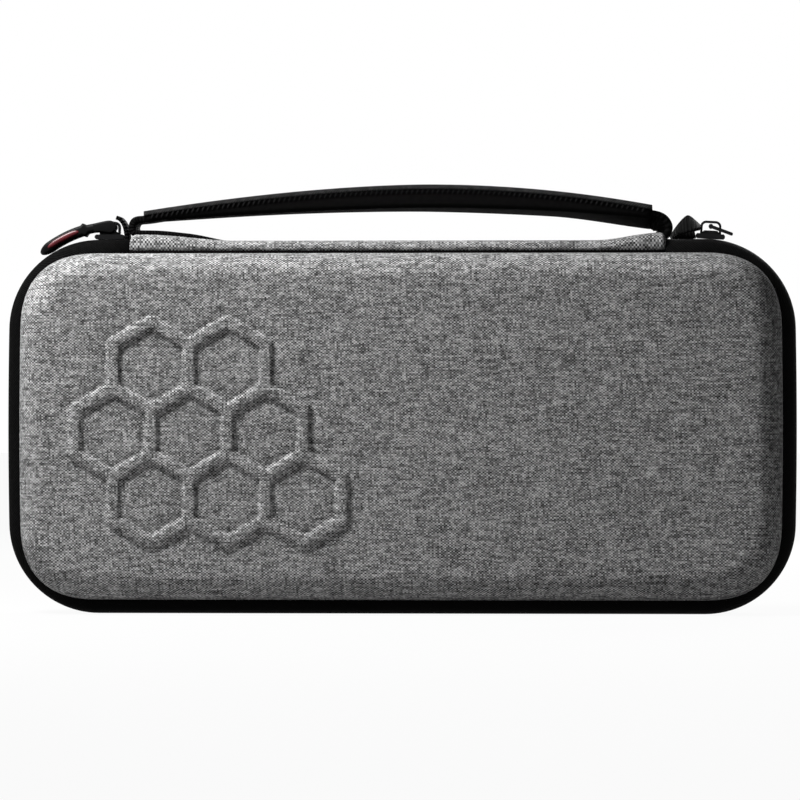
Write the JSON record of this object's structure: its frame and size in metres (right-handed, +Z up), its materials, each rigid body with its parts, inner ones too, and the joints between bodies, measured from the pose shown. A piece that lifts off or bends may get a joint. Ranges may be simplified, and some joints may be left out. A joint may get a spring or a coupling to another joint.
{
  "type": "portable game console case",
  "caption": "Hard-shell zip case for a handheld game console, fabric covered, with a padded handle on its spine, a lid that folds back and a moulded tray inside.",
  "frame": {"origin": "middle of the zip edge that the closed case stands on", "axes": "+X to the right along the case, +Y to the back shell, +Z up to the spine and handle"},
  "size_m": [0.27, 0.0529, 0.1467],
  "materials": {
    "shell_fabric": "heather weave",
    "zip_tape": "woven tape",
    "zip_teeth": "satin",
    "webbing": "woven webbing",
    "cover_fabric": "heather weave",
    "ribbon": "ribbed ribbon",
    "slider_metal": "satin",
    "pull_black": "gloss",
    "pull_red": "gloss",
    "tray_lining": "brushed lining",
    "pocket_net": "net"
  },
  "bodies": {
    "base": {"base_shell": "shell_fabric", "base_zip_tape": "zip_tape", "base_zip_chain": "zip_teeth", "base_spine_hem": "shell_fabric", "console_tray": "tray_lining", "tray_floor": "tray_lining"},
    "spine": {"spine_panel": "shell_fabric", "handle_strap": "webbing", "handle_pad": "webbing", "handle_cover": "cover_fabric", "left_zip_end": "zip_tape", "right_zip_end": "zip_tape", "left_ribbon_tab": "ribbon", "right_ribbon_tab": "ribbon"},
    "lid": {"lid_shell": "shell_fabric", "lid_zip_tape": "zip_tape", "lid_zip_chain": "zip_teeth", "lid_spine_hem": "shell_fabric", "mesh_pocket": "pocket_net", "pocket_binding": "pocket_net", "pocket_elastic": "pocket_net"},
    "left_slider": {"left_slider": "slider_metal"},
    "left_pull": {"left_pull": "pull_black", "left_pull_inlay": "pull_red"},
    "right_slider": {"right_slider": "slider_metal"},
    "right_puller": {"right_puller": "slider_metal"}
  },
  "joints": [
    {"name": "spine_fold", "type": "hinge", "parent": "base", "child": "spine", "pos_m": [0, 0.01, 0.128], "axis": [-1, 0, 0], "range_deg": [0, 90]},
    {"name": "lid_fold", "type": "hinge", "parent": "spine", "child": "lid", "pos_m": [0, -0.01, 0.128], "axis": [-1, 0, 0], "range_deg": [0, 90]},
    {"name": "left_slider_run", "type": "hinge", "parent": "spine", "child": "left_slider", "pos_m": [-0.10368, 0, 0.097], "axis": [0, 1, 0], "range_deg": [-50, 0]},
    {"name": "left_pull_swing", "type": "hinge", "parent": "left_slider", "child": "left_pull", "pos_m": [-0.10068, 0, 0.1325], "axis": [0, 1, 0], "range_deg": [0, 80]},
    {"name": "right_slider_run", "type": "hinge", "parent": "spine", "child": "right_slider", "pos_m": [0.10368, 0, 0.097], "axis": [0, -1, 0], "range_deg": [-50, 0]},
    {"name": "right_puller_swing", "type": "hinge", "parent": "right_slider", "child": "right_puller", "pos_m": [0.10575, 0, 0.13244], "axis": [0, -1, 0], "range_deg": [0, 140]}
  ],
  "couplings": [
    {"joint": "lid_fold", "follows": "spine_fold", "ratio": 1}
  ]
}
